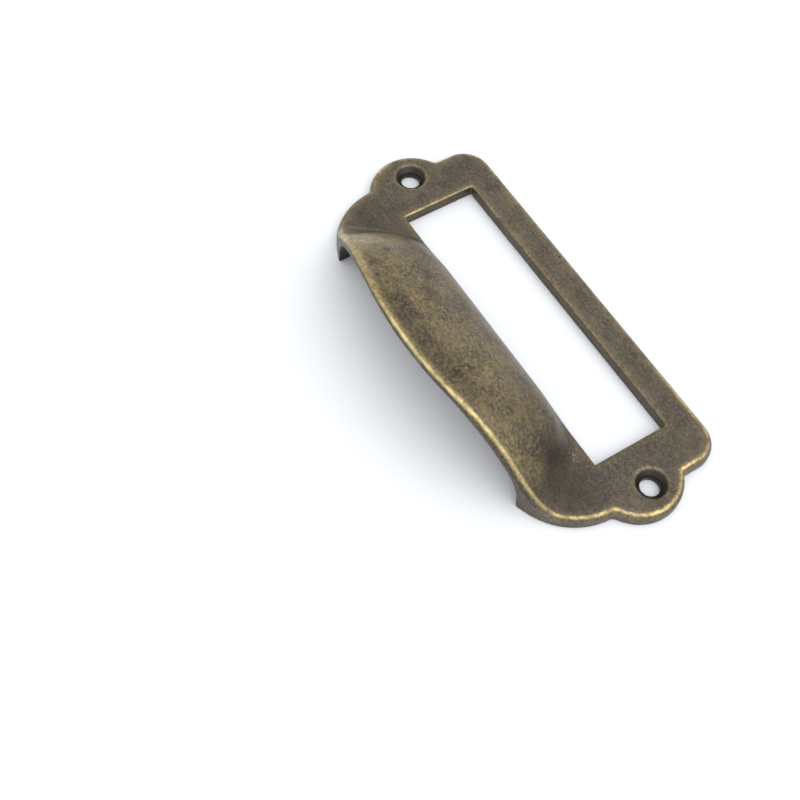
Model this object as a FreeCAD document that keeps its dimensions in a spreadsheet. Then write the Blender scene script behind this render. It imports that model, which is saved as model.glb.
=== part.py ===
# Label frame pull for a drawer front: one casting with a card window, two
# countersunk screw lobes and a hollow finger hood. Millimetres, +Z out of the drawer.
# The origin is midway between the screws, on the back face; the hood is on the -Y side.
import FreeCAD
import Part
import Sketcher
import math
import os

Vector = FreeCAD.Vector

DIMENSIONS = {
    # card window and the frame round it
    "window_length": 60,
    "window_height": 15,
    "window_rise": 1.5,
    "top_rail": 6.1,
    "end_rail": 8.85,
    "plate_thickness": 2.5,
    "corner_radius": 5.2,
    # outline below the window: round cheeks joined by one long bow
    "cheek_radius": 13.15,
    "cheek_drop": 8.2,
    "bow_radius": 80,
    # screw lobes
    "lobe_radius": 8.35,
    "lobe_inset": 3.95,
    "lobe_drop": 1.05,
    "cusp_radius": 0.8,
    "screw_inset": 1.15,
    "screw_hole": 3.6,
    "countersink_width": 5.4,
    "countersink_angle": 90,
    "seat_rim_width": 0.45,
    "seat_rim_depth": 0.2,
    # finger hood, outside
    "hood_height": 17.4,
    "hood_radius": 22,
    "root_step": 0.25,
    "foot_margin": 6,
    "foot_angle": 34.8,
    "root_ramp_angle": 59.5,
    "crown_ramp_angle": 38,
    "root_shoulder": 18,
    "crown_shoulder": 22.7,
    # finger hood, inside
    "hood_wall": 1.6,
    "root_wall": 1.6,
    "ramp_wall": 2.9,
    "cheek_width": 10.15,
    # blends and rounded edges
    "root_blend": 0.3,
    "blend_ratio": 0.5,
    "edge_radius": 1.3,
    "lip_edge": 0.7,
    "window_bevel": 0.3,
}

# Lofted sections along the hood's arc, and the angle that the last one lies past the crown
STATIONS = 8
PAST_CROWN_ANGLE = 12.0
# How far helper solids run past the faces that they are cut by
OVERRUN = 12.0
# Two lengths nearer than this are the same
TOLERANCE = 0.001

doc = FreeCAD.newDocument("label_frame_pull")
sheet = doc.addObject("Spreadsheet::Sheet", "dims")
for row, (alias, value) in enumerate(DIMENSIONS.items(), start=1):
    sheet.set(f"A{row}", alias)
    sheet.set(f"B{row}", str(value))
    sheet.setAlias(f"B{row}", alias)
doc.recompute()

# Places that several sketches share, as expressions over the sheet's cells
HALF_FRAME = "(dims.window_length / 2 + dims.end_rail)"
TOP_EDGE = "(dims.window_rise + dims.window_height / 2 + dims.top_rail)"
LOBE_PLACE = f"({HALF_FRAME} - dims.lobe_inset)"
SCREW_PLACE = f"({HALF_FRAME} - dims.screw_inset)"
MOUTH_HALF = f"({HALF_FRAME} - dims.cheek_width)"
FOOT_HALF = "(dims.window_length / 2 - dims.foot_margin)"
ROOT_DROP = "(dims.window_height / 2 - dims.window_rise)"
BLOCK_HEIGHT = f"(dims.hood_height + {OVERRUN})"
SPREAD = f"({HALF_FRAME} + dims.lobe_radius + {OVERRUN})"
DEPTH = "(dims.cheek_drop + dims.cheek_radius + dims.hood_radius)"
LIP_HALF = f"(({HALF_FRAME} - dims.cheek_radius) * dims.bow_radius / (dims.bow_radius - dims.cheek_radius))"
SEAT_DEPTH = "((dims.countersink_width - dims.screw_hole) / 2 / tan(dims.countersink_angle / 2))"

# The hood's arc lies about an axis along X; its reach runs from the window's lower edge to the crown
HOOD_AXIS = "(dims.hood_height - dims.hood_radius)"
REACH = f"sqrt(dims.hood_radius ^ 2 - (dims.plate_thickness + dims.root_step - {HOOD_AXIS}) ^ 2)"
INNER_RADIUS = "(dims.hood_radius - dims.hood_wall)"
INNER_REACH = f"sqrt({INNER_RADIUS} ^ 2 - {HOOD_AXIS} ^ 2)"

# Ends of a sketch's edges, and the sketch's own origin and axes
START, END, CENTRE = range(1, 4)
X_AXIS, Y_AXIS = range(-1, -3, -1)
ORIGIN = (X_AXIS, START)


def size(expression):
    """Value of an expression over the sheet's cells."""
    return float(sheet.evalExpression(expression))


def origin_plane(body, role):
    """One of the body's own origin planes."""
    return next(feature for feature in body.Origin.OriginFeatures if feature.Role == role)


def add_sketch(body, name, role, offset="0"):
    """Sketch on one of the body's own origin planes, moved along its normal by an expression."""
    sketch = body.newObject("Sketcher::SketchObject", name)
    sketch.AttachmentSupport = (origin_plane(body, role), [""])
    sketch.MapMode = "FlatFace"
    sketch.setExpression("AttachmentOffset.Base.z", offset)
    return sketch


def bind(sketch, name, expression, kind, *where):
    """Named dimension of a sketch, driven by an expression over the sheet's cells."""
    value = size(expression)
    if kind == "Angle":
        value = FreeCAD.Units.Quantity(value, FreeCAD.Units.Angle)
    number = sketch.addConstraint(Sketcher.Constraint(kind, *where, value))
    sketch.renameConstraint(number, name)
    sketch.setExpression(f"Constraints.{name}", expression)


def relate(sketch, kind, *where):
    """Geometric constraint of a sketch."""
    sketch.addConstraint(Sketcher.Constraint(kind, *where))


def line(sketch, start, end):
    """Straight edge between two points."""
    return sketch.addGeometry(Part.LineSegment(Vector(*start, 0), Vector(*end, 0)))


def arc(sketch, centre, radius, first, last):
    """Arc of a circle, counterclockwise between two angles in radians."""
    circle = Part.Circle(Vector(*centre, 0), Vector(0, 0, 1), radius)
    return sketch.addGeometry(Part.ArcOfCircle(circle, first, last))


def chain(sketch, edges, kind):
    """Join each edge's end to the next one's start, all the way round."""
    for here, following in zip(edges, edges[1:] + edges[:1]):
        relate(sketch, kind, here, END, following, START)


def draw_outline(body):
    """Plan outline without its lobes: straight top and ends, round cheeks and the long bow of the lip."""
    sketch = add_sketch(body, "outline", "XY_Plane")
    half = size(HALF_FRAME)
    top = size(TOP_EDGE)
    corner = size("dims.corner_radius")
    cheek = size("dims.cheek_radius")
    drop = size("dims.cheek_drop")
    bow = size("dims.bow_radius")
    swing = math.asin((half - cheek) / (bow - cheek))
    bow_centre = (bow - cheek) * math.cos(swing) - drop
    down = -math.pi / 2
    edges = [
        arc(sketch, (0, bow_centre), bow, down - swing, down + swing),
        arc(sketch, (half - cheek, -drop), cheek, down + swing, 0),
        line(sketch, (half, -drop), (half, top - corner)),
        arc(sketch, (half - corner, top - corner), corner, 0, math.pi / 2),
        line(sketch, (half - corner, top), (corner - half, top)),
        arc(sketch, (corner - half, top - corner), corner, math.pi / 2, math.pi),
        line(sketch, (-half, top - corner), (-half, -drop)),
        arc(sketch, (cheek - half, -drop), cheek, math.pi, 3 * math.pi / 2 - swing),
    ]
    bow_arc, right_cheek, right_end, right_corner, top_line, left_corner, left_end, left_cheek = edges
    chain(sketch, edges, "Tangent")
    relate(sketch, "Vertical", right_end)
    relate(sketch, "Vertical", left_end)
    relate(sketch, "Horizontal", top_line)
    relate(sketch, "Symmetric", right_end, START, left_end, END, Y_AXIS)
    relate(sketch, "Equal", right_corner, left_corner)
    relate(sketch, "Equal", right_cheek, left_cheek)
    bind(sketch, "half_frame", HALF_FRAME, "DistanceX", *ORIGIN, right_end, START)
    bind(sketch, "top_edge", TOP_EDGE, "DistanceY", *ORIGIN, top_line, START)
    bind(sketch, "cheek_drop", "dims.cheek_drop", "DistanceY", right_cheek, CENTRE, *ORIGIN)
    bind(sketch, "corner_radius", "dims.corner_radius", "Radius", right_corner)
    bind(sketch, "cheek_radius", "dims.cheek_radius", "Radius", right_cheek)
    bind(sketch, "bow_radius", "dims.bow_radius", "Radius", bow_arc)
    return sketch


def draw_lobes(body):
    """Two round screw lobes that stand out of the frame's ends."""
    sketch = add_sketch(body, "lobes", "XY_Plane")
    radius = size("dims.lobe_radius")
    side = size(LOBE_PLACE)
    drop = size("dims.lobe_drop")
    right = sketch.addGeometry(Part.Circle(Vector(side, -drop, 0), Vector(0, 0, 1), radius))
    left = sketch.addGeometry(Part.Circle(Vector(-side, -drop, 0), Vector(0, 0, 1), radius))
    relate(sketch, "Symmetric", left, CENTRE, right, CENTRE, Y_AXIS)
    relate(sketch, "Equal", left, right)
    bind(sketch, "lobe_place", LOBE_PLACE, "DistanceX", *ORIGIN, right, CENTRE)
    bind(sketch, "lobe_drop", "dims.lobe_drop", "DistanceY", right, CENTRE, *ORIGIN)
    bind(sketch, "lobe_radius", "dims.lobe_radius", "Radius", right)
    return sketch


def draw_window(body):
    """Card window, a plain rectangle."""
    sketch = add_sketch(body, "window", "XY_Plane")
    half = size("dims.window_length") / 2
    low = -size(ROOT_DROP)
    high = low + size("dims.window_height")
    edges = [
        line(sketch, (-half, low), (half, low)),
        line(sketch, (half, low), (half, high)),
        line(sketch, (half, high), (-half, high)),
        line(sketch, (-half, high), (-half, low)),
    ]
    lower, right, upper, left = edges
    chain(sketch, edges, "Coincident")
    relate(sketch, "Vertical", right)
    relate(sketch, "Vertical", left)
    relate(sketch, "Horizontal", upper)
    relate(sketch, "Symmetric", lower, START, lower, END, Y_AXIS)
    bind(sketch, "window_length", "dims.window_length", "DistanceX", lower, START, lower, END)
    bind(sketch, "window_height", "dims.window_height", "DistanceY", right, START, right, END)
    bind(sketch, "root_drop", ROOT_DROP, "DistanceY", lower, START, *ORIGIN)
    return sketch


def draw_screw_seat(body):
    """Half section of a countersunk hole, on its own axis, with room above the seat for the screw head."""
    sketch = add_sketch(body, "screw_seat", "XZ_Plane")
    sketch.setExpression("AttachmentOffset.Base.x", SCREW_PLACE)
    hole = size("dims.screw_hole") / 2
    head = size("dims.countersink_width") / 2
    rim = head + size("dims.seat_rim_width")
    surface = size("dims.plate_thickness")
    head_top = surface - size("dims.seat_rim_depth")
    seat = head_top - size(SEAT_DEPTH)
    above = size(BLOCK_HEIGHT) + OVERRUN
    lower_corners = [(0, -OVERRUN), (hole, -OVERRUN), (hole, seat), (head, head_top)]
    corners = lower_corners + [(rim, surface), (rim, above), (0, above)]
    edges = [line(sketch, here, following) for here, following in zip(corners, corners[1:] + corners[:1])]
    floor, bore, cone, bevel, head_wall, ceiling, axis = edges
    chain(sketch, edges, "Coincident")
    relate(sketch, "Horizontal", floor)
    relate(sketch, "Vertical", bore)
    relate(sketch, "Vertical", head_wall)
    relate(sketch, "Horizontal", ceiling)
    relate(sketch, "PointOnObject", axis, START, Y_AXIS)
    relate(sketch, "PointOnObject", axis, END, Y_AXIS)
    bind(sketch, "overrun", f"{OVERRUN}", "DistanceY", floor, START, *ORIGIN)
    bind(sketch, "hole_radius", "dims.screw_hole / 2", "DistanceX", floor, START, floor, END)
    bind(sketch, "head_radius", "dims.countersink_width / 2", "DistanceX", *ORIGIN, cone, END)
    bind(sketch, "seat_depth", SEAT_DEPTH, "DistanceY", cone, START, cone, END)
    bind(sketch, "rim_width", "dims.seat_rim_width", "DistanceX", bevel, START, bevel, END)
    bind(sketch, "rim_depth", "dims.seat_rim_depth", "DistanceY", bevel, START, bevel, END)
    bind(sketch, "surface", "dims.plate_thickness", "DistanceY", *ORIGIN, bevel, END)
    bind(sketch, "ceiling", f"{BLOCK_HEIGHT} + {OVERRUN}", "DistanceY", *ORIGIN, ceiling, START)
    return sketch


# Tall block of the plan outline, with the window and the screw seats cut through it
block = doc.addObject("PartDesign::Body", "outline_block")
outline_pad = block.newObject("PartDesign::Pad", "outline_pad")
outline_pad.Profile = draw_outline(block)
outline_pad.setExpression("Length", BLOCK_HEIGHT)
lobe_pad = block.newObject("PartDesign::Pad", "lobe_pad")
lobe_pad.Profile = draw_lobes(block)
lobe_pad.setExpression("Length", BLOCK_HEIGHT)
doc.recompute()
window_pocket = block.newObject("PartDesign::Pocket", "window_pocket")
window_pocket.Profile = draw_window(block)
window_pocket.Type = "ThroughAll"
window_pocket.Reversed = True
doc.recompute()
seat_sketch = draw_screw_seat(block)
screw_seat_cut = block.newObject("PartDesign::Groove", "screw_seat_cut")
screw_seat_cut.Profile = seat_sketch
screw_seat_cut.ReferenceAxis = (seat_sketch, ["V_Axis"])
screw_seat_cut.Angle = 360
doc.recompute()
screw_seats = block.newObject("PartDesign::Mirrored", "screw_seats")
screw_seats.Originals = [screw_seat_cut]
screw_seats.MirrorPlane = (origin_plane(block, "YZ_Plane"), [""])
block.Tip = screw_seats
doc.recompute()


def draw_section(body, name, offset, height, foot, ramp_angle, shoulder):
    """Section across the hood, square to its short way: flat top, round shoulders and straight ramps.

    The ramps pass through the plate's surface at the foot and run on below the back face.
    """
    sketch = add_sketch(body, name, "XZ_Plane", offset)
    base = f"({foot} + (dims.plate_thickness + {OVERRUN}) / tan({ramp_angle}))"
    ramp = math.radians(size(ramp_angle))
    top = size(height)
    bend = size(shoulder)
    half_base = size(base)
    bend_end_height = top - bend * (1 - math.cos(ramp))
    bend_end = half_base - (bend_end_height + OVERRUN) / math.tan(ramp)
    half_top = bend_end - bend * math.sin(ramp)
    up = math.pi / 2
    edges = [
        line(sketch, (-half_base, -OVERRUN), (half_base, -OVERRUN)),
        line(sketch, (half_base, -OVERRUN), (bend_end, bend_end_height)),
        arc(sketch, (half_top, top - bend), bend, up - ramp, up),
        line(sketch, (half_top, top), (-half_top, top)),
        arc(sketch, (-half_top, top - bend), bend, up, up + ramp),
        line(sketch, (-bend_end, bend_end_height), (-half_base, -OVERRUN)),
    ]
    floor, right_ramp, right_bend, flat, left_bend, left_ramp = edges
    relate(sketch, "Coincident", floor, END, right_ramp, START)
    for here, following in zip(edges[1:5], edges[2:6]):
        relate(sketch, "Tangent", here, END, following, START)
    relate(sketch, "Coincident", left_ramp, END, floor, START)
    relate(sketch, "Symmetric", floor, START, floor, END, Y_AXIS)
    relate(sketch, "Symmetric", flat, START, flat, END, Y_AXIS)
    relate(sketch, "Equal", right_bend, left_bend)
    bind(sketch, "overrun", f"{OVERRUN}", "DistanceY", floor, START, *ORIGIN)
    bind(sketch, "height", f"{height} + {OVERRUN}", "DistanceY", floor, END, flat, START)
    bind(sketch, "half_base", base, "DistanceX", *ORIGIN, floor, END)
    bind(sketch, "bend", shoulder, "Radius", right_bend)
    bind(sketch, "ramp_angle", f"180 - {ramp_angle}", "Angle", right_ramp)
    return sketch


def loft_hood(name, radius, axis_drop, first_angle, inset, thinning):
    """Loft through sections set out at even angles along the hood's arc, from its root to past its crown.

    The foot line spreads evenly, and ramps and shoulders change evenly, with the way from the window.
    """
    body = doc.addObject("PartDesign::Body", name)
    sections = []
    for number in range(STATIONS):
        share = number / (STATIONS - 1)
        angle = f"({first_angle} * {1 - share} - {PAST_CROWN_ANGLE} * {share})"
        offset = f"({axis_drop} - {radius} * sin({angle}))"
        height = f"({HOOD_AXIS} + {radius} * cos({angle}))"
        foot = f"({FOOT_HALF} + ({offset} - {ROOT_DROP}) * tan(dims.foot_angle) - {inset})"
        way = f"({offset} - {ROOT_DROP}) / {REACH}"
        ramp = f"(dims.root_ramp_angle + (dims.crown_ramp_angle - dims.root_ramp_angle) * {way})"
        shoulder = f"(dims.root_shoulder + (dims.crown_shoulder - dims.root_shoulder) * {way} - {thinning})"
        sections.append(draw_section(body, f"{name}_section_{number}", offset, height, foot, ramp, shoulder))
    doc.recompute()
    loft = body.newObject("PartDesign::AdditiveLoft", f"{name}_loft")
    loft.Profile = sections[0]
    loft.Sections = sections[1:]
    doc.recompute()
    return body


# Hood, from the window's lower edge to past the lip
hood = loft_hood(
    "hood",
    "dims.hood_radius",
    f"({ROOT_DROP} + {REACH})",
    f"asin({REACH} / dims.hood_radius) / 1 deg",
    "0",
    "0",
)

# Hollow under the hood: the same arc, one wall further in and one wall further from the window
hollow = loft_hood(
    "hollow",
    INNER_RADIUS,
    f"({ROOT_DROP} + dims.root_wall + {INNER_REACH})",
    f"acos((0 - 1 - {HOOD_AXIS}) / {INNER_RADIUS}) / 1 deg",
    "dims.ramp_wall",
    "dims.hood_wall",
)


def add_box(name, corner, spans):
    """Box set by expressions for its lowest corner and its three spans."""
    box = doc.addObject("Part::Box", name)
    for axis, expression in zip("xyz", corner):
        box.setExpression(f"Placement.Base.{axis}", expression)
    for side, expression in zip(("Length", "Width", "Height"), spans):
        box.setExpression(side, expression)
    return box


def combine(kind, name, base, tool):
    """Boolean of two objects."""
    result = doc.addObject(kind, name)
    result.Base = base
    result.Tool = tool
    return result


# Everything of the casting that lies under the plate's surface or under the hood's
slab = add_box(
    "slab",
    (f"-{SPREAD}", f"-{DEPTH}", "0"),
    (f"2 * {SPREAD}", f"{DEPTH} + {TOP_EDGE} + {OVERRUN}", "dims.plate_thickness"),
)
under_surface = combine("Part::Fuse", "under_surface", slab, hood)
shell = combine("Part::Common", "shell", block, under_surface)

# The hollow stops at the two upright ends of the mouth
mouth = add_box(
    "mouth",
    (f"-{MOUTH_HALF}", f"-{DEPTH}", f"-{OVERRUN}"),
    (f"2 * {MOUTH_HALF}", DEPTH, f"dims.hood_height + 2 * {OVERRUN}"),
)
finger_space = combine("Part::Common", "finger_space", hollow, mouth)
plain_casting = combine("Part::Cut", "plain_casting", shell, finger_space)
doc.recompute()


def is_upright(face, point):
    """Whether a face stands upright at a point of it."""
    return abs(face.normalAt(*face.Surface.parameter(point)).z) < TOLERANCE


def faces_up(face, point):
    """Whether a face can be seen from the front at a point of it."""
    return face.normalAt(*face.Surface.parameter(point)).z > TOLERANCE


def in_window(point):
    """Whether a point lies on the window's wall."""
    across = abs(point.x) - size("dims.window_length") / 2
    along = abs(point.y - size("dims.window_rise")) - size("dims.window_height") / 2
    return max(across, along) < TOLERANCE


def is_foot(faces, point):
    """Crease where the hood's ramps and shoulders meet the flat front of the plate."""
    on_plate = abs(point.z - size("dims.plate_thickness")) < TOLERANCE
    on_hood = any(isinstance(face.Surface, Part.BSplineSurface) for face in faces)
    return on_plate and on_hood and not in_window(point)


def is_cusp(faces, point):
    """Upright inner corner where a screw lobe meets the frame."""
    radii = [face.Surface.Radius for face in faces if isinstance(face.Surface, Part.Cylinder)]
    on_lobe = any(abs(radius - size("dims.lobe_radius")) < TOLERANCE for radius in radii)
    return on_lobe and len(faces) == 2 and all(is_upright(face, point) for face in faces)


def is_rim(faces, point):
    """Front edge of the outline, all the way round the plate and along the lip."""
    if in_window(point) or any(isinstance(face.Surface, Part.Cone) for face in faces):
        return False
    return any(is_upright(face, point) for face in faces) and any(faces_up(face, point) for face in faces)


def is_window_edge(faces, point):
    """Front edge of the card window."""
    if not in_window(point):
        return False
    return any(is_upright(face, point) for face in faces) and any(faces_up(face, point) for face in faces)


def foot_radius(point):
    """The blend at the foot widens with the way from the window."""
    return size("dims.root_blend") + size("dims.blend_ratio") * (-point.y - size(ROOT_DROP))


def rim_radius(point):
    """Rounding of the outline's front edge: finer along the lip than round the plate."""
    on_lip = abs(point.x) < size(LIP_HALF) + TOLERANCE and point.y < 0
    return size("dims.lip_edge") if on_lip else size("dims.edge_radius")


def cusp_radius(point):
    """Rounding of the lobes' inner corners, the same at every point."""
    return size("dims.cusp_radius")


def window_bevel(point):
    """Bevel of the window's front edge, the same at every point."""
    return size("dims.window_bevel")


def dress_edges(kind, name, base, is_chosen, radius):
    """Fillet or chamfer of the edges that a rule chooses, with the size at each end from another rule."""
    shape = base.Shape
    chosen = []
    for number, edge in enumerate(shape.Edges, start=1):
        faces = shape.ancestorsOfType(edge, Part.Face)
        middle = edge.valueAt((edge.FirstParameter + edge.LastParameter) / 2)
        if is_chosen(faces, middle):
            chosen.append((number, radius(edge.Vertexes[0].Point), radius(edge.Vertexes[-1].Point)))
    dressed = doc.addObject(kind, name)
    dressed.Base = base
    dressed.Edges = chosen
    doc.recompute()
    return dressed


foot_blended = dress_edges("Part::Fillet", "foot_blended", plain_casting, is_foot, foot_radius)
cusps_rounded = dress_edges("Part::Fillet", "cusps_rounded", foot_blended, is_cusp, cusp_radius)
rim_rounded = dress_edges("Part::Fillet", "rim_rounded", cusps_rounded, is_rim, rim_radius)
label_pull = dress_edges("Part::Chamfer", "label_pull", rim_rounded, is_window_edge, window_bevel)
label_pull.Label = "label_pull"
label_pull.Placement = FreeCAD.Placement()
doc.recompute()

for thing in doc.Objects:
    if "Invalid" in thing.State or "Error" in thing.State:
        raise RuntimeError(f"{thing.Name} did not build")
if label_pull.Shape.isNull() or not label_pull.Shape.isValid() or len(label_pull.Shape.Solids) != 1:
    raise RuntimeError("the casting is not one sound solid")
os.makedirs("parts", exist_ok=True)
label_pull.Shape.exportStep(f"parts/{label_pull.Label}.step")
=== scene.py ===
import bpy
import numpy as np
from mathutils import Matrix, Vector


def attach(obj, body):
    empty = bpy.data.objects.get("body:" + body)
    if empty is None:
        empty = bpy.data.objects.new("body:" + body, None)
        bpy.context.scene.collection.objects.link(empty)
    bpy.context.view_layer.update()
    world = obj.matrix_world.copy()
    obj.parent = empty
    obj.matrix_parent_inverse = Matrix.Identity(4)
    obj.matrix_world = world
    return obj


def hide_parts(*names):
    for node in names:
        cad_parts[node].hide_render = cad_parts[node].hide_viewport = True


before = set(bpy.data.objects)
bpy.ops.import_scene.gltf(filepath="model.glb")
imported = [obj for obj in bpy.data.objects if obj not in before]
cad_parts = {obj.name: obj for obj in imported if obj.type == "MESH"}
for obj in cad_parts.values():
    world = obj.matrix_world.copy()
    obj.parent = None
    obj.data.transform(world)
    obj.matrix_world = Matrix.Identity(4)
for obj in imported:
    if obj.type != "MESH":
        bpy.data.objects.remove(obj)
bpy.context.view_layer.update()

# Casting: a flat frame round a card window, with two screw lobes and a hollow finger hood.
# It is die cast in zinc alloy in one piece, plated and patinated as antique brass: dark on
# the flats, rubbed bright along its edges. It lies on its flat back. Sizes in millimetres.
WINDOW_HALF = (30.0, 7.5)
WINDOW_RISE = 1.5
FRAME_HALF = 38.85
TOP_EDGE = 15.1
CORNER_RADIUS = 5.2
CHEEK_RADIUS = 13.15
CHEEK_DROP = 8.2
BOW_RADIUS = 80.0
LOBE_RADIUS = 8.35
LOBE_CENTRE = (34.9, -1.05)
CUSP_BLEND = 0.7
SCREW_PLACE = 37.7
SCREW_RADIUS = 1.8
SEAT_RADIUS = 2.9
PLATE = 2.5
ROOT = 6.0
ROOT_BLEND = 0.25
FOOT_HALF = 24.5
FOOT_SPREAD = np.tan(np.radians(33.8))
FOOT_BLEND = 2.2
FOOT_BLEND_SPAN = (8.0, 24.0)
BLEND_GROWTH = 0.16
HOOD_RADIUS = 22.0
HOOD_AXIS = -4.6
HOOD_REACH = 20.736
HOLLOW_RADIUS = 20.4
HOLLOW_REACH = 21.474
RAMPS = np.radians((59.5, 38.0))
SHOULDERS = (18.0, 22.7)
WALL = 1.6
RAMP_WALL = 2.9
MOUTH_HALF = 28.7
MOUTH_DRAFT = 0.1
MOUTH_CORNER = 2.0
LIP_HALF = 30.76
LIP_START = -12.0
LIP_CHANGE = 3.0
EDGE_ROUNDING = 1.3
LIP_ROUNDING = 1.05
WINDOW_ROUNDING = 0.45
FINE_ROUNDING = 0.25
BORE_ROUNDING = 0.1
GRID_LOW = (-44.0, -27.4, -0.6)
GRID_HIGH = (44.2, 16.0, 18.2)
GRID_PITCH = 0.32
MILLIMETRE = 0.001


def outline_distance(x, y):
    """Distance from the plan outline, negative inside.

    The frame is convex and made of five arcs: the bow below, and a cheek and a top corner at each
    end, which are worked out once for both ends. Its distance is the largest of the distances from
    the arcs' circles, each taken along the direction nearest to the point within the arc's sweep.
    The lobes are two circles, joined to the frame by a smooth minimum.
    """
    side = np.abs(x)
    swing = np.arcsin((FRAME_HALF - CHEEK_RADIUS) / (BOW_RADIUS - CHEEK_RADIUS))
    bow_rise = (BOW_RADIUS - CHEEK_RADIUS) * np.cos(swing) - CHEEK_DROP
    down = -np.pi / 2
    arcs = (
        (0.0, bow_rise, BOW_RADIUS, down - swing, down + swing),
        (FRAME_HALF - CHEEK_RADIUS, -CHEEK_DROP, CHEEK_RADIUS, down + swing, 0.0),
        (FRAME_HALF - CORNER_RADIUS, TOP_EDGE - CORNER_RADIUS, CORNER_RADIUS, 0.0, np.pi / 2),
    )
    frame_distance = np.full(np.broadcast(x, y).shape, -np.inf)
    for centre_x, centre_y, radius, first, last in arcs:
        across = side - centre_x
        along = y - centre_y
        bearing = np.arctan2(along, across)
        opposite = (first + last) / 2 + np.pi
        bearing = np.where(bearing > opposite, bearing - 2 * np.pi, bearing)
        nearest = np.clip(bearing, first, last)
        arc_distance = across * np.cos(nearest) + along * np.sin(nearest) - radius
        frame_distance = np.maximum(frame_distance, arc_distance)
    lobe_distance = np.hypot(side - LOBE_CENTRE[0], y - LOBE_CENTRE[1]) - LOBE_RADIUS
    overlap = np.maximum(CUSP_BLEND - np.abs(frame_distance - lobe_distance), 0.0)
    return np.minimum(frame_distance, lobe_distance) - overlap ** 2 / (4 * CUSP_BLEND)


def window_distance(x, y):
    """Distance from the window's rectangle, negative inside it."""
    across = np.abs(x) - WINDOW_HALF[0]
    along = np.abs(y - WINDOW_RISE) - WINDOW_HALF[1]
    outside = np.hypot(np.maximum(across, 0.0), np.maximum(along, 0.0))
    return outside + np.minimum(np.maximum(across, along), 0.0)


def arch_height(x, y, radius, reach, inset, thinning):
    """Height of the hood's outer or inner surface.

    Along y the crest is an arc about an axis below the plate. Across x a section is a flat top,
    a round shoulder tangent to it and a straight ramp that meets the plate at the foot line.
    The foot spreads, and ramp and shoulder change, evenly with the way from the window.
    """
    drop = np.maximum(-y, ROOT)
    way = (drop - ROOT) / HOOD_REACH
    crest = HOOD_AXIS + np.sqrt(np.maximum(radius ** 2 - (drop - ROOT - reach) ** 2, 0.0))
    foot = FOOT_HALF + (drop - ROOT) * FOOT_SPREAD - inset
    ramp = RAMPS[0] + (RAMPS[1] - RAMPS[0]) * way
    shoulder = SHOULDERS[0] + (SHOULDERS[1] - SHOULDERS[0]) * way - thinning
    bend_height = crest - shoulder * (1 - np.cos(ramp))
    bend_end = foot - (bend_height - PLATE) / np.tan(ramp)
    flat_half = bend_end - shoulder * np.sin(ramp)
    side = np.abs(x)
    bend = np.clip(side - flat_half, 0.0, shoulder * np.sin(ramp))
    rounded = crest - shoulder + np.sqrt(shoulder ** 2 - bend ** 2)
    return np.where(side > bend_end, PLATE + (foot - side) * np.tan(ramp), rounded)


def fade(value, start, end):
    """Smooth step from nought at the start to one at the end, three squares less two cubes."""
    share = np.clip((value - start) / (end - start), 0.0, 1.0)
    return share * share * (3 - 2 * share)


def front_height(x, y):
    """Height of the front: plate above the window's middle, below it the larger of plate and hood.

    The two meet in a smooth maximum, whose width grows towards the feet and away from the window.
    """
    hood = arch_height(x, y, HOOD_RADIUS, HOOD_REACH, 0.0, 0.0)
    blend = ROOT_BLEND + FOOT_BLEND * fade(np.abs(x), *FOOT_BLEND_SPAN)
    blend = blend + BLEND_GROWTH * np.maximum(-y - ROOT, 0.0)
    overlap = np.maximum(blend - np.abs(hood - PLATE), 0.0)
    blended = np.maximum(hood, PLATE) + overlap ** 2 / (4 * blend)
    return np.where(y > WINDOW_RISE, PLATE, blended)


def hollow_height(x, y):
    """Height of the hollow's ceiling: the hood's own arch, one wall further in."""
    return arch_height(x, y, HOLLOW_RADIUS, HOLLOW_REACH, RAMP_WALL, WALL)


def level_distance(height, x, y, z):
    """Distance above a height surface: the height difference over the length of its slope."""
    step = 0.05
    slope_x = (height(x + step, y) - height(x - step, y)) / (2 * step)
    slope_y = (height(x, y + step) - height(x, y - step)) / (2 * step)
    return (z - height(x, y)) / np.sqrt(1 + slope_x ** 2 + slope_y ** 2)


def rounded_corner(first, second, radius):
    """Intersection of two solids given by distances, with its edge rounded to a radius."""
    corner = np.hypot(np.maximum(first + radius, 0.0), np.maximum(second + radius, 0.0)) - radius
    return np.where((first > -radius) & (second > -radius), corner, np.maximum(first, second))


def rim_radius(x, y):
    """Rounding of the outline's front edge, finer along the lip, changing evenly at its ends."""
    share = np.clip((LIP_HALF + LIP_CHANGE / 2 - np.abs(x)) / LIP_CHANGE, 0.0, 1.0)
    return EDGE_ROUNDING + (LIP_ROUNDING - EDGE_ROUNDING) * share * (y < LIP_START)


def hollow_distance(x, y, z):
    """Distance from the hollow, negative in it: below its ceiling, between the mouth's ends."""
    ceiling = level_distance(hollow_height, x, y, z)
    return rounded_corner(ceiling, np.abs(x) - MOUTH_HALF + MOUTH_DRAFT * z, MOUTH_CORNER)


def casting_distance(x, y, z):
    """Distance from the casting's surface, negative in the metal.

    The outline below the front surface, less the window, the screw seats and bores, all that lies
    behind the back, and the hollow, each edge rounded to its own radius.
    """
    top = level_distance(front_height, x, y, z)
    solid = rounded_corner(top, outline_distance(x, y), rim_radius(x, y))
    solid = rounded_corner(solid, -window_distance(x, y), WINDOW_ROUNDING)
    from_screw = np.hypot(np.abs(x) - SCREW_PLACE, y)
    seat_cone = (SEAT_RADIUS - PLATE + z - from_screw) / np.sqrt(2.0)
    solid = rounded_corner(solid, seat_cone, FINE_ROUNDING)
    solid = rounded_corner(solid, SCREW_RADIUS - from_screw, BORE_ROUNDING)
    solid = rounded_corner(solid, -z, FINE_ROUNDING)
    return rounded_corner(solid, -hollow_distance(x, y, z), FINE_ROUNDING)


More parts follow.
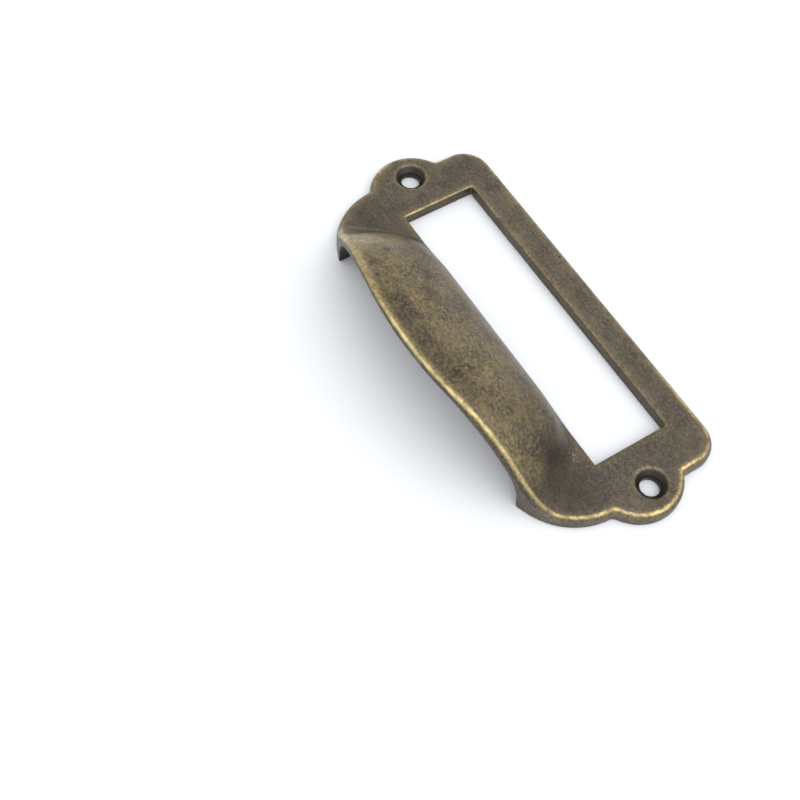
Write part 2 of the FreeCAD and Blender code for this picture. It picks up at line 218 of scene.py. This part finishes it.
def surface_slope(points):
    """Direction in which the casting's distance grows at each point, by central differences."""
    nudge = 0.01
    ahead = [casting_distance(*(points + step).T) for step in nudge * np.eye(3)]
    behind = [casting_distance(*(points - step).T) for step in nudge * np.eye(3)]
    return (np.stack(ahead, axis=1) - np.stack(behind, axis=1)) / (2 * nudge)


def skin(low, high, pitch):
    """Closed surface where the casting's distance is nought, as points and four-sided faces.

    Space is cut into cubes. Each cube that the surface passes through gets one point, the mean of
    the places where the surface crosses its edges, and each crossed grid edge gets one face that
    joins the four cubes round it. The points then move along the distance's slope onto the surface.
    """
    axes = [np.arange(start, end, pitch) for start, end in zip(low, high)]
    values = casting_distance(*np.meshgrid(*axes, indexing="ij", sparse=True))
    inside = values < 0
    corners = np.array(np.meshgrid((0, 1), (0, 1), (0, 1), indexing="ij")).reshape(3, 8).T
    spans = np.array(values.shape) - 1
    near = sum(
        inside[i:i + spans[0], j:j + spans[1], k:k + spans[2]].astype(int) for i, j, k in corners
    )
    crossed = np.argwhere((near > 0) & (near < 8))
    corner_values = values[tuple((crossed[:, None, :] + corners[None]).transpose(2, 0, 1))]
    ends = np.array([
        (a, b) for a in range(8) for b in range(a, 8) if np.abs(corners[a] - corners[b]).sum() == 1
    ])
    start, end = corner_values[:, ends[:, 0]], corner_values[:, ends[:, 1]]
    cut = (start < 0) != (end < 0)
    share = np.where(cut, start / np.where(cut, start - end, 1.0), 0.0)
    along = corners[ends[:, 1]] - corners[ends[:, 0]]
    places = (corners[ends[:, 0]][None] + share[..., None] * along[None]) * cut[..., None]
    points = np.array(low) + pitch * (crossed + places.sum(1) / cut.sum(1)[:, None])
    number = np.full(spans, -1)
    number[tuple(crossed.T)] = np.arange(len(crossed))
    units = np.eye(3, dtype=int)
    faces = []
    for axis in range(3):
        lower = np.moveaxis(inside, axis, 0)
        here = np.argwhere(np.moveaxis(lower[:-1] != lower[1:], 0, axis))
        leaving = inside[tuple(here.T)]
        one, other = units[(axis + 1) % 3], units[(axis + 2) % 3]
        shifts = (one + other, other, 0 * one, one)
        ring = np.stack([number[tuple((here - shift).T)] for shift in shifts], axis=1)
        faces.append(np.where(leaving[:, None], ring, ring[:, ::-1]))
    settling_passes = 4
    least_steepness = 0.25
    for _ in range(settling_passes):
        slope = surface_slope(points)
        steepness = np.maximum((slope ** 2).sum(1), least_steepness)
        points = points - slope * (casting_distance(*points.T) / steepness)[:, None]
    return points, np.concatenate(faces)


points, faces = skin(GRID_LOW, GRID_HIGH, GRID_PITCH)
mesh = bpy.data.meshes.new("casting")
mesh.vertices.add(len(points))
mesh.vertices.foreach_set("co", (points * MILLIMETRE).ravel())
mesh.loops.add(faces.size)
mesh.loops.foreach_set("vertex_index", faces.ravel())
mesh.polygons.add(len(faces))
mesh.polygons.foreach_set("loop_start", np.arange(0, faces.size, 4))
mesh.update(calc_edges=True)
mesh.polygons.foreach_set("use_smooth", np.ones(len(faces), dtype=bool))
casting = bpy.data.objects.new("casting", mesh)
bpy.context.scene.collection.objects.link(casting)


def band(value, start, full, wane, end):
    """One between full and wane, with a smooth step up before and a smooth step down after."""
    return fade(value, start, full) * (1 - fade(value, wane, end))


def spots(x, y, rows):
    """Round spots in plan, each a bell curve of a given place, width and strength."""
    bells = [
        strength * np.exp(-((x - across) ** 2 + (y - along) ** 2) / width ** 2)
        for across, along, width, strength in rows
    ]
    return np.max(bells, axis=0)


# Where each point lies on the casting. The turn runs from nought on the front, round the rim's
# edge, to a right angle on its wall. The lean is one where the front is level, nought on a wall.
x, y, z = points.T
slope = surface_slope(points)
lean = slope[:, 2] / np.linalg.norm(slope, axis=1)
above = level_distance(front_height, x, y, z)
rise = front_height(x, y) - PLATE
edge_gap = outline_distance(x, y)
window_gap = window_distance(x, y)
from_screw = np.hypot(np.abs(x) - SCREW_PLACE, y)
rim = rim_radius(x, y)
turn = np.arctan2(np.maximum(edge_gap + rim, 0.0), np.maximum(above + rim, 1e-6))
front = fade(above, -1.5, -1.0)
near_end = fade(x, 14.0, 30.0)
lip = fade(-y, 15.0, 19.0) * fade(LIP_HALF + 4.0 - np.abs(x), 0.0, 6.0)
lip_near = fade(x, 13.0, 19.0)
hood_share = fade(rise, 0.8, 6.0) * fade(lean, 0.0, 0.3)

# Places that are rubbed to gold, and places lightened with painted highlight and sheen
on_rim = band(turn, 0.1, 0.35, 0.4, 0.75) * front
below_rim = band(turn, 0.4, 0.8, 1.2, 1.5) * front
# Rubbed gold along the rims, partly a painted highlight that is stronger towards the near end
rim_wear_and_highlight = (on_rim + 0.08 * below_rim) * (1 - lip) * (0.34 + 0.86 * near_end)
rubs = ((-42.0, -4.0, 3.0, 0.9), (-36.5, 13.0, 4.0, 0.7), (-25.5, -22.4, 1.8, 0.8))
rubbed_rim = spots(x, y, rubs) * np.maximum(on_rim, below_rim)
lip_dark = fade(turn, 1.0 - 0.3 * lip_near, 1.2 - 0.3 * lip_near)
lip_gold = fade(edge_gap, -1.6 + 0.4 * lip_near, -0.9) * (1 - lip_dark) * lip * front
# Painted highlight: a bright line along the lip's rounding, strong in the middle and fainter at the
# near end
gleam_mid = band(turn, 0.35, 0.55, 0.75, 0.95) * fade(x, -14.0, 0.0)
gleam_near = band(turn, 0.05, 0.25, 0.4, 0.65)
gleam = (gleam_mid * (1 - lip_near) + 0.35 * gleam_near * lip_near) * lip * front
beside_rim = fade(edge_gap, -2.4, -0.9) * (1 - lip)
beside_edge = np.maximum(beside_rim, fade(window_gap, 1.8, 0.4)) * fade(lean, 0.5, 0.8)
far_window_end = fade(-x, 28.0, 29.5) * (0.25 + 0.4 * fade(-y, 1.0, 5.0))
on_window = fade(window_gap, 0.6, 0.2) * band(lean, 0.3, 0.6, 0.9, 0.99)
window_wear = on_window * (0.3 + far_window_end)
# Painted sheen along the hood's crest at the far end
crest = band(-x, 17.0, 22.0, 24.5, 28.0) * fade(-y, 10.0, 14.0) * fade(lean, 0.3, 0.6)
seat_rim = band(from_screw, 2.7, 3.0, 3.1, 3.5) * fade(lean, 0.3, 0.6)
# Painted light over the hood's foot at the far end
far_foot = fade(-x, 17.0, 20.0) * band(rise, 0.05, 0.4, 2.0, 5.0) * fade(-y, 7.0, 9.0)
# Painted sheen in a band across the middle of the hood
hood_sheen = np.exp(-((y + 18.6) / 2.6) ** 2) * fade(x, -20.0, -14.0) * fade(-x, -4.0, 6.0)
hood_sheen = hood_sheen * fade(lean, 0.2, 0.5)

# Darker places: painted shade, then stains and other darker patches
seat = fade(from_screw, 3.0, 2.6) * fade(z, 0.1, 0.6)
# Painted shade on faces that turn downward
underside_shade = fade(-lean, -0.05, 0.3)
# Painted shade in the hollow under the hood
inside = fade(hollow_distance(x, y, z), 0.4, 0.1)
window_wall = fade(window_gap, 0.3, 0.05) * fade(np.abs(lean), 0.6, 0.2)
# Painted shade along the lip's lower face
under_lip_shade = lip_dark * lip * front
# Painted shade on the flats of both cheeks, stronger at the near end and kept off the far foot, and
# on level faces all over the near end
cheek = ((31.0, -12.5, 7.5, 1.0),)
near_end_shade = (0.3 + 0.36 * near_end) * spots(np.abs(x), y, cheek) * fade(lean, 0.5, 0.8)
near_end_shade = np.maximum(near_end_shade * (1 - far_foot), 0.17 * near_end * fade(lean, 0.9, 0.98))
near_shoulder = ((25.4, -12.6, 3.8, 0.7), (21.0, -15.0, 6.0, 0.32))
flank = spots(x, y, near_shoulder) * fade(-y, 8.5, 11.0)
low_band = fade(edge_gap, -6.0, -3.5) * (1 - fade(turn, 0.1, 0.4)) * fade(-y, 12.0, 16.0)
low_band = low_band * fade(x, -14.0, -7.0) * fade(-x, -24.0, -14.0)
smudges = (
    (-21.8, -15.7, 0.5, 0.9), (-17.8, -18.3, 0.45, 0.9), (-10.6, -22.8, 0.6, 0.8),
    (-13.3, -19.2, 0.5, 0.7), (-7.0, -16.7, 1.5, 0.7), (-5.2, -17.6, 0.8, 0.6),
    (4.7, -23.5, 3.0, 0.45), (-15.6, -22.0, 1.2, 0.5), (13.0, -22.5, 1.8, 0.4),
    (21.0, -9.3, 0.9, 0.7), (22.4, -10.4, 1.0, 0.75), (23.8, -11.5, 1.0, 0.75),
    (25.2, -12.7, 1.0, 0.7), (26.6, -13.9, 1.0, 0.6),
)
stain = spots(x, y, smudges) * fade(hood_share, 0.0, 0.3)

# What the material reads, each a number from nought to one per point
places = {
    # Rubbed gold together with the painted highlight and sheen
    "wear_and_sheen": np.maximum.reduce([
        rim_wear_and_highlight + 0.55 * lip_gold, rubbed_rim, window_wear, 0.42 * crest, 0.22 * seat_rim,
        0.12 * beside_edge, 0.1 * far_foot, 0.07 * hood_sheen,
    ]),
    "gleam": gleam,
    # Painted shade together with stains and darker patches
    "shade": np.maximum.reduce([
        0.85 * seat, 0.8 * inside, 0.75 * stain, 0.55 * underside_shade, 0.55 * under_lip_shade,
        0.36 * low_band, 0.3 * window_wall, near_end_shade, flank,
    ]),
    "hood": hood_share,
    "wall": fade(turn, 1.2, 1.5) * front * (1 - lip),
    # Painted glints by the window's near end
    "glint": np.exp(-((x - 28.0) / 3.6) ** 2 - ((y + 7.9) / 1.4) ** 2) * fade(lean, 0.4, 0.6),
}
for name, amount in places.items():
    attribute = mesh.attributes.new(name, "FLOAT", "POINT")
    attribute.data.foreach_set("value", amount.astype(np.float32))

brass = bpy.data.materials.new("antique_brass")
brass.use_nodes = True
tree = brass.node_tree
shader = tree.nodes["Principled BSDF"]
shader.inputs["Metallic"].default_value = 1.0
place = tree.nodes.new("ShaderNodeTexCoord")


def grain(scale, detail, roughness, source=place.outputs["Object"]):
    """Cloudy noise over the casting, with the number of its clouds to a metre."""
    node = tree.nodes.new("ShaderNodeTexNoise")
    node.inputs["Scale"].default_value = scale
    node.inputs["Detail"].default_value = detail
    node.inputs["Roughness"].default_value = roughness
    tree.links.new(source, node.inputs["Vector"])
    return node.outputs["Fac"]


def spread(value, low, high, floor=0.0, ceiling=1.0):
    """Stretch the part of a value between low and high over floor to ceiling."""
    node = tree.nodes.new("ShaderNodeMapRange")
    node.inputs["From Min"].default_value = low
    node.inputs["From Max"].default_value = high
    node.inputs["To Min"].default_value = floor
    node.inputs["To Max"].default_value = ceiling
    tree.links.new(value, node.inputs["Value"])
    return node.outputs["Result"]


def join(operation, first, second):
    """Arithmetic on two values, of which the second may be a plain number."""
    node = tree.nodes.new("ShaderNodeMath")
    node.operation = operation
    tree.links.new(first, node.inputs[0])
    if isinstance(second, float):
        node.inputs[1].default_value = second
    else:
        tree.links.new(second, node.inputs[1])
    return node.outputs["Value"]


def tint(share, first, second):
    """Mix of two colours, each a plain colour or another mix."""
    node = tree.nodes.new("ShaderNodeMix")
    node.data_type = "RGBA"
    tree.links.new(share, node.inputs["Factor"])
    for socket, colour in ((node.inputs[6], first), (node.inputs[7], second)):
        if isinstance(colour, tuple):
            socket.default_value = (*colour, 1.0)
        else:
            tree.links.new(colour, socket)
    return node.outputs[2]


def mark(name):
    """One of the casting's own numbers per point."""
    node = tree.nodes.new("ShaderNodeAttribute")
    node.attribute_name = name
    return node.outputs["Fac"]


# Plate and hood in their own clouds of brown
plate_dark = (0.082, 0.076, 0.062)
plate_light = (0.158, 0.134, 0.096)
plate_brown = (0.120, 0.099, 0.086)
hood_dark = (0.074, 0.065, 0.049)
hood_light = (0.250, 0.196, 0.106)
hood_brown = (0.178, 0.148, 0.114)
hood_gold = (0.330, 0.250, 0.130)
clouds = grain(170.0, 5.0, 0.6)
hue = grain(260.0, 3.0, 0.5)
blotches = grain(520.0, 4.0, 0.6)
speckle = grain(1900.0, 4.0, 0.6)
plate_colour = tint(spread(clouds, 0.38, 0.62), plate_dark, plate_light)
plate_colour = tint(spread(hue, 0.42, 0.62, 0.0, 0.7), plate_colour, plate_brown)
hood_colour = tint(spread(clouds, 0.35, 0.65), hood_dark, hood_light)
hood_colour = tint(spread(hue, 0.45, 0.65, 0.0, 0.6), hood_colour, hood_brown)
hood_colour = tint(spread(blotches, 0.46, 0.30, 0.0, 0.5), hood_colour, hood_gold)
patina = tint(mark("hood"), plate_colour, hood_colour)

# Brush marks along the plate, greyer walls, then specks and grit from coarse to fine, and painted
# glints by the window's near end
brushed_brown = (0.190, 0.164, 0.122)
wall_grey = (0.150, 0.133, 0.127)
blotch_dark = (0.062, 0.054, 0.044)
speck_gold = (0.370, 0.292, 0.168)
speck_dark = (0.045, 0.040, 0.034)
grit_light = (0.270, 0.234, 0.172)
grit_dark = (0.042, 0.038, 0.032)
glint_pale = (0.420, 0.380, 0.310)
brushing = tree.nodes.new("ShaderNodeVectorMath")
brushing.operation = "MULTIPLY"
brushing.inputs[1].default_value = (0.25, 1.6, 1.0)
tree.links.new(place.outputs["Object"], brushing.inputs[0])
streaks = spread(grain(900.0, 3.0, 0.6, brushing.outputs["Vector"]), 0.48, 0.66, 0.0, 0.4)
streaks = join("SUBTRACT", streaks, spread(mark("hood"), 0.0, 0.5, 0.0, 0.4))
patina = tint(streaks, patina, brushed_brown)
patina = tint(mark("wall"), patina, wall_grey)
calm = spread(mark("hood"), 0.0, 1.0, 0.42, 1.3)
patina = tint(join("MULTIPLY", calm, spread(blotches, 0.50, 0.74, 0.0, 0.5)), patina, blotch_dark)
patina = tint(join("MULTIPLY", calm, spread(speckle, 0.48, 0.66, 0.0, 0.5)), patina, speck_gold)
patina = tint(join("MULTIPLY", calm, spread(speckle, 0.47, 0.30, 0.0, 0.42)), patina, speck_dark)
grit = grain(2900.0, 2.0, 0.5)
patches = spread(hue, 0.42, 0.58, 0.3, 1.0)
patina = tint(join("MULTIPLY", patches, spread(grit, 0.50, 0.66, 0.0, 0.24)), patina, grit_light)
patina = tint(join("MULTIPLY", patches, spread(grit, 0.50, 0.34, 0.0, 0.32)), patina, grit_dark)
# Painted glints: pale specks by the window's near end
glints = join("MULTIPLY", mark("glint"), spread(grain(2200.0, 2.0, 0.5), 0.60, 0.68))
patina = tint(glints, patina, glint_pale)

# Rubbed gold and painted sheen over the patina, a painted highlight along the lip, then painted
# shade, stains and darker patches and pits over all
wear_and_sheen_gold = (0.660, 0.515, 0.225)
gleam_gold = (0.960, 0.790, 0.420)
shade_dark = (0.040, 0.035, 0.032)
pit_dark = (0.030, 0.026, 0.022)
rubbed_and_sheen = join("MULTIPLY", mark("wear_and_sheen"), spread(blotches, 0.34, 0.60, 0.25, 1.0))
rubbed_and_sheen = join("MULTIPLY", rubbed_and_sheen, spread(speckle, 0.36, 0.58, 0.6, 1.15))
colour = tint(rubbed_and_sheen, patina, wear_and_sheen_gold)
gleam_share = join("MULTIPLY", mark("gleam"), spread(blotches, 0.36, 0.56, 0.4, 1.0))
colour = tint(gleam_share, colour, gleam_gold)
rubbed_and_sheen = join("MAXIMUM", rubbed_and_sheen, gleam_share)
colour = tint(mark("shade"), colour, shade_dark)
cells = tree.nodes.new("ShaderNodeTexVoronoi")
cells.inputs["Scale"].default_value = 420.0
tree.links.new(place.outputs["Object"], cells.inputs["Vector"])
pits = join("MULTIPLY", spread(cells.outputs["Distance"], 0.16, 0.06), spread(clouds, 0.50, 0.60))
colour = tint(join("MULTIPLY", pits, 0.8), colour, pit_dark)
tree.links.new(colour, shader.inputs["Base Color"])

# Smoother where it is rubbed and under the painted highlight and sheen, with the grain and the pits
# in relief
dullness = spread(blotches, 0.3, 0.7, 0.50, 0.36)
polish = join("SUBTRACT", dullness, join("MULTIPLY", rubbed_and_sheen, 0.14))
tree.links.new(polish, shader.inputs["Roughness"])
bump = tree.nodes.new("ShaderNodeBump")
bump.inputs["Strength"].default_value = 0.35
bump.inputs["Distance"].default_value = 0.00008
relief = join("ADD", join("ADD", speckle, blotches), clouds)
tree.links.new(join("SUBTRACT", relief, pits), bump.inputs["Height"])
tree.links.new(bump.outputs["Normal"], shader.inputs["Normal"])
mesh.materials.append(brass)
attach(casting, "root")
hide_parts("label_pull")

# Floor: a plain white sheet of matt card that the pull lies on.
# It is one flat face at the height of the pull's back, wide enough to fill the view.
floor_half = 1.5
floor_corners = [
    (-floor_half, -floor_half, 0), (floor_half, -floor_half, 0),
    (floor_half, floor_half, 0), (-floor_half, floor_half, 0),
]
floor_mesh = bpy.data.meshes.new("floor")
floor_mesh.from_pydata(floor_corners, [], [(0, 1, 2, 3)])
floor = bpy.data.objects.new("floor", floor_mesh)
bpy.context.scene.collection.objects.link(floor)
white = bpy.data.materials.new("white_sheet")
white.use_nodes = True
sheet_shader = white.node_tree.nodes["Principled BSDF"]
sheet_shader.inputs["Base Color"].default_value = (0.86, 0.885, 0.92, 1.0)
sheet_shader.inputs["Roughness"].default_value = 0.8
floor_mesh.materials.append(white)

# Light: a white room and one large soft lamp overhead.
# The lamp stands past the near end and faces the pull.
world = bpy.data.worlds.new("studio")
bpy.context.scene.world = world
world.use_nodes = True
room = world.node_tree.nodes["Background"]
room.inputs["Color"].default_value = (1.0, 1.0, 1.0, 1.0)
room.inputs["Strength"].default_value = 1.0
lamp = bpy.data.lights.new("overhead", "AREA")
lamp.size = 1.4
lamp.energy = 6.5
lamp_place = Vector((0.55, 0.1, 0.9))
lamp_object = bpy.data.objects.new("overhead", lamp)
lamp_object.location = lamp_place
lamp_object.rotation_euler = lamp_place.to_track_quat("Z", "Y").to_euler()
bpy.context.scene.collection.objects.link(lamp_object)

# Camera: the photograph's own place, tilt and lens.
# Its tilt is given by the directions of the picture's right and top, and back towards the viewer.
camera_data = bpy.data.cameras.new("camera")
camera_data.sensor_width = 36.0
camera_data.lens = 54.006
camera_data.clip_start = 0.01
camera = bpy.data.objects.new("camera", camera_data)
picture_right = (0.52731691, 0.84811916, 0.05129107)
picture_top = (-0.7498465, 0.4361281, 0.49751634)
picture_back = (0.39958366, -0.3008092, 0.8659369)
camera_place = Matrix.Translation((0.084901, -0.0893956, 0.1798811))
camera_turn = Matrix((picture_right, picture_top, picture_back)).transposed()
camera.matrix_world = camera_place @ camera_turn.to_4x4()
bpy.context.scene.collection.objects.link(camera)
bpy.context.scene.camera = camera
bpy.context.scene.view_settings.view_transform = "Standard"
